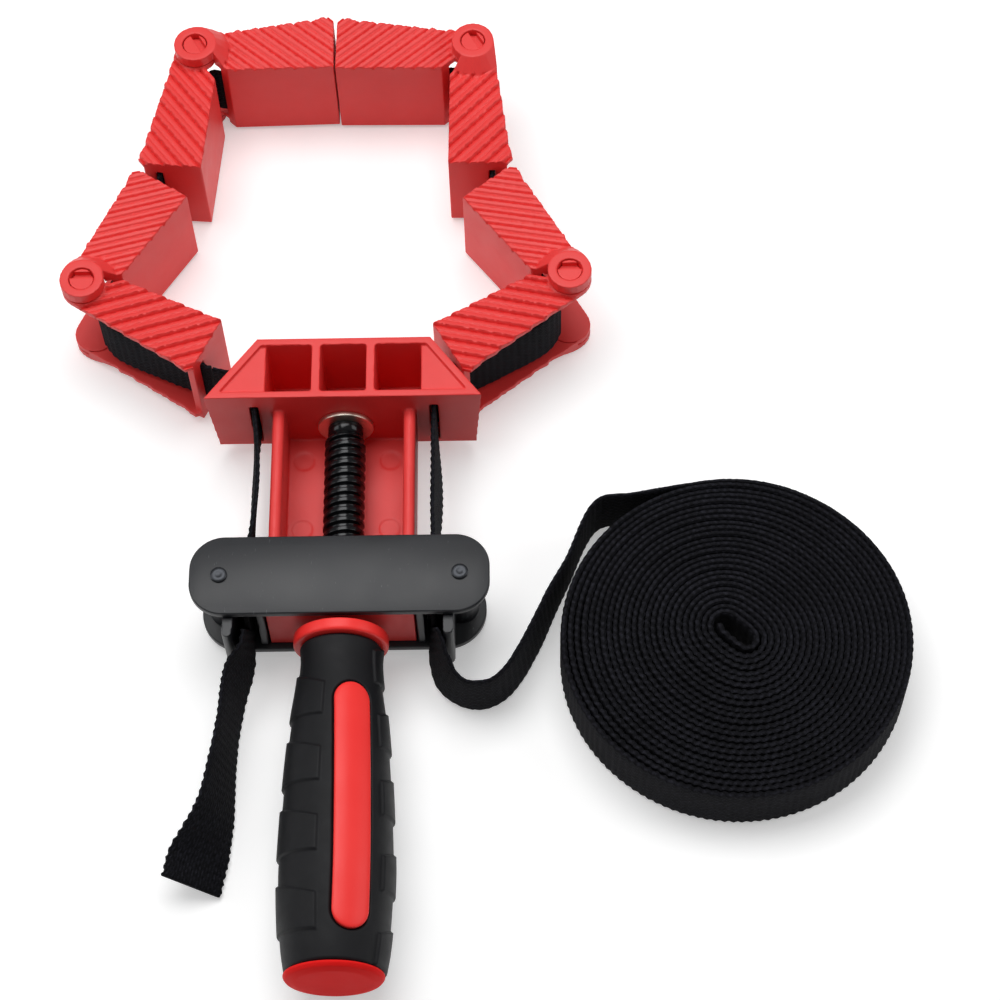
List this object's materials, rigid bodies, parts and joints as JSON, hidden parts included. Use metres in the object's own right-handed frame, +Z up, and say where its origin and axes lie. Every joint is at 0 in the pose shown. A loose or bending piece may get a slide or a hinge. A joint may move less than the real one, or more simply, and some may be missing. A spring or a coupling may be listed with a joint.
{
  "type": "band clamp",
  "caption": "Band clamp with hinged corner jaws on a webbing loop, tightened by a screw handle that drives a yoke along a guide channel.",
  "frame": {"origin": "on the bench surface, under the middle of the clamp without its free webbing", "axes": "+Y along the screw axis from the handle towards the loop, +Z up from the bench"},
  "size_m": [0.3115, 0.395, 0.0458],
  "materials": {
    "jaw_plastic": "satin, finely textured",
    "pin_plastic": "satin",
    "handle_plastic": "satin",
    "grip_rubber": "soft, matt",
    "thread_steel": "blackened, oiled",
    "bright_steel": "zinc plated",
    "nut_brass": "plain",
    "rivet_steel": "satin",
    "yoke_plastic": "satin, glass filled",
    "webbing": "woven polyester"
  },
  "bodies": {
    "frame": {"head_frame": "jaw_plastic", "washer": "bright_steel", "left_head_band": "webbing", "right_head_band": "webbing", "left_run_band": "webbing", "right_run_band": "webbing", "feed_band": "webbing", "coil_band": "webbing"},
    "handle": {"spindle": "thread_steel", "retaining_clip": "bright_steel", "handle_core": "handle_plastic", "handle_grip": "grip_rubber", "handle_inlay": "handle_plastic", "handle_end_cap": "handle_plastic"},
    "yoke": {"yoke_top_plate": "yoke_plastic", "yoke_bottom_plate": "yoke_plastic", "nut_carrier": "yoke_plastic", "nut": "nut_brass", "left_rivet": "rivet_steel", "right_rivet": "rivet_steel", "left_yoke_band": "webbing", "right_yoke_band": "webbing", "tail_band": "webbing"},
    "left_cam": {"left_cam": "yoke_plastic"},
    "right_cam": {"right_cam": "yoke_plastic"},
    "left_arm_1": {"left_arm_1": "jaw_plastic", "left_arm_1_band": "webbing"},
    "left_arm_2": {"left_arm_2": "jaw_plastic", "left_arm_2_band": "webbing", "left_lower_top_pin": "pin_plastic", "left_lower_base_pin": "pin_plastic"},
    "left_arm_3": {"left_arm_3": "jaw_plastic", "left_arm_3_band": "webbing"},
    "left_arm_4": {"left_arm_4": "jaw_plastic", "left_arm_4_band": "webbing", "left_upper_top_pin": "pin_plastic", "left_upper_base_pin": "pin_plastic"},
    "right_arm_1": {"right_arm_1": "jaw_plastic", "right_arm_1_band": "webbing"},
    "right_arm_2": {"right_arm_2": "jaw_plastic", "right_arm_2_band": "webbing", "right_lower_top_pin": "pin_plastic", "right_lower_base_pin": "pin_plastic"},
    "right_arm_3": {"right_arm_3": "jaw_plastic", "right_arm_3_band": "webbing", "right_upper_top_pin": "pin_plastic", "right_upper_base_pin": "pin_plastic"},
    "right_arm_4": {"right_arm_4": "jaw_plastic", "right_arm_4_band": "webbing"}
  },
  "joints": [
    {"name": "handle_turn", "type": "hinge", "parent": "frame", "child": "handle", "pos_m": [0.00711, -0.04647, 0.0205], "axis": [0, -1, 0], "range_deg": [0, 4320]},
    {"name": "yoke_travel", "type": "slide", "parent": "frame", "child": "yoke", "axis": [0, 1, 0], "range_m": [0, 0.048], "deforming": ["left_run_band", "right_run_band", "feed_band"]},
    {"name": "left_cam_turn", "type": "hinge", "parent": "yoke", "child": "left_cam", "pos_m": [-0.03608, -0.05067, 0.0208], "axis": [0, 0, -1], "range_deg": [0, 40]},
    {"name": "right_cam_turn", "type": "hinge", "parent": "yoke", "child": "right_cam", "pos_m": [0.05031, -0.05067, 0.0208], "axis": [0, 0, 1], "range_deg": [0, 40]},
    {"name": "left_head_fold", "type": "hinge", "parent": "frame", "child": "left_arm_1", "pos_m": [-0.04287, 0.03822, 0.022], "axis": [0, 0, -1], "range_deg": [-4, 18]},
    {"name": "left_lower_pin_turn", "type": "hinge", "parent": "left_arm_1", "child": "left_arm_2", "pos_m": [-0.09209, 0.07101, 0.022], "axis": [0, 0, -1], "range_deg": [-40, 7], "deforming": ["left_arm_1_band"]},
    {"name": "left_middle_fold", "type": "hinge", "parent": "left_arm_2", "child": "left_arm_3", "pos_m": [-0.06719, 0.12367, 0.022], "axis": [0, 0, -1], "range_deg": [-6, 33]},
    {"name": "left_upper_pin_turn", "type": "hinge", "parent": "left_arm_3", "child": "left_arm_4", "pos_m": [-0.05423, 0.18046, 0.022], "axis": [0, 0, -1], "range_deg": [-11, 2], "deforming": ["left_arm_3_band"]},
    {"name": "right_head_fold", "type": "hinge", "parent": "frame", "child": "right_arm_1", "pos_m": [0.0479, 0.03714, 0.022], "axis": [0, 0, 1], "range_deg": [-4, 16]},
    {"name": "right_lower_pin_turn", "type": "hinge", "parent": "right_arm_1", "child": "right_arm_2", "pos_m": [0.09208, 0.07167, 0.022], "axis": [0, 0, 1], "range_deg": [-39, 7], "deforming": ["right_arm_1_band"]},
    {"name": "right_middle_fold", "type": "hinge", "parent": "right_arm_2", "child": "right_arm_3", "pos_m": [0.06304, 0.12216, 0.022], "axis": [0, 0, 1], "range_deg": [-6, 34]},
    {"name": "right_upper_pin_turn", "type": "hinge", "parent": "right_arm_3", "child": "right_arm_4", "pos_m": [0.05586, 0.17997, 0.022], "axis": [0, 0, 1], "range_deg": [-11, 2], "deforming": ["right_arm_3_band"]}
  ],
  "couplings": [
    {"joint": "yoke_travel", "follows": "handle_turn", "m_per_rad": 0.0006366},
    {"joint": "left_head_fold", "follows": "left_lower_pin_turn", "ratio": -0.44},
    {"joint": "left_middle_fold", "follows": "left_lower_pin_turn", "ratio": -0.816},
    {"joint": "left_upper_pin_turn", "follows": "left_lower_pin_turn", "ratio": 0.256},
    {"joint": "right_head_fold", "follows": "left_lower_pin_turn", "ratio": -0.3965},
    {"joint": "right_lower_pin_turn", "follows": "left_lower_pin_turn", "ratio": 0.9675},
    {"joint": "right_middle_fold", "follows": "left_lower_pin_turn", "ratio": -0.841},
    {"joint": "right_upper_pin_turn", "follows": "left_lower_pin_turn", "ratio": 0.27}
  ]
}
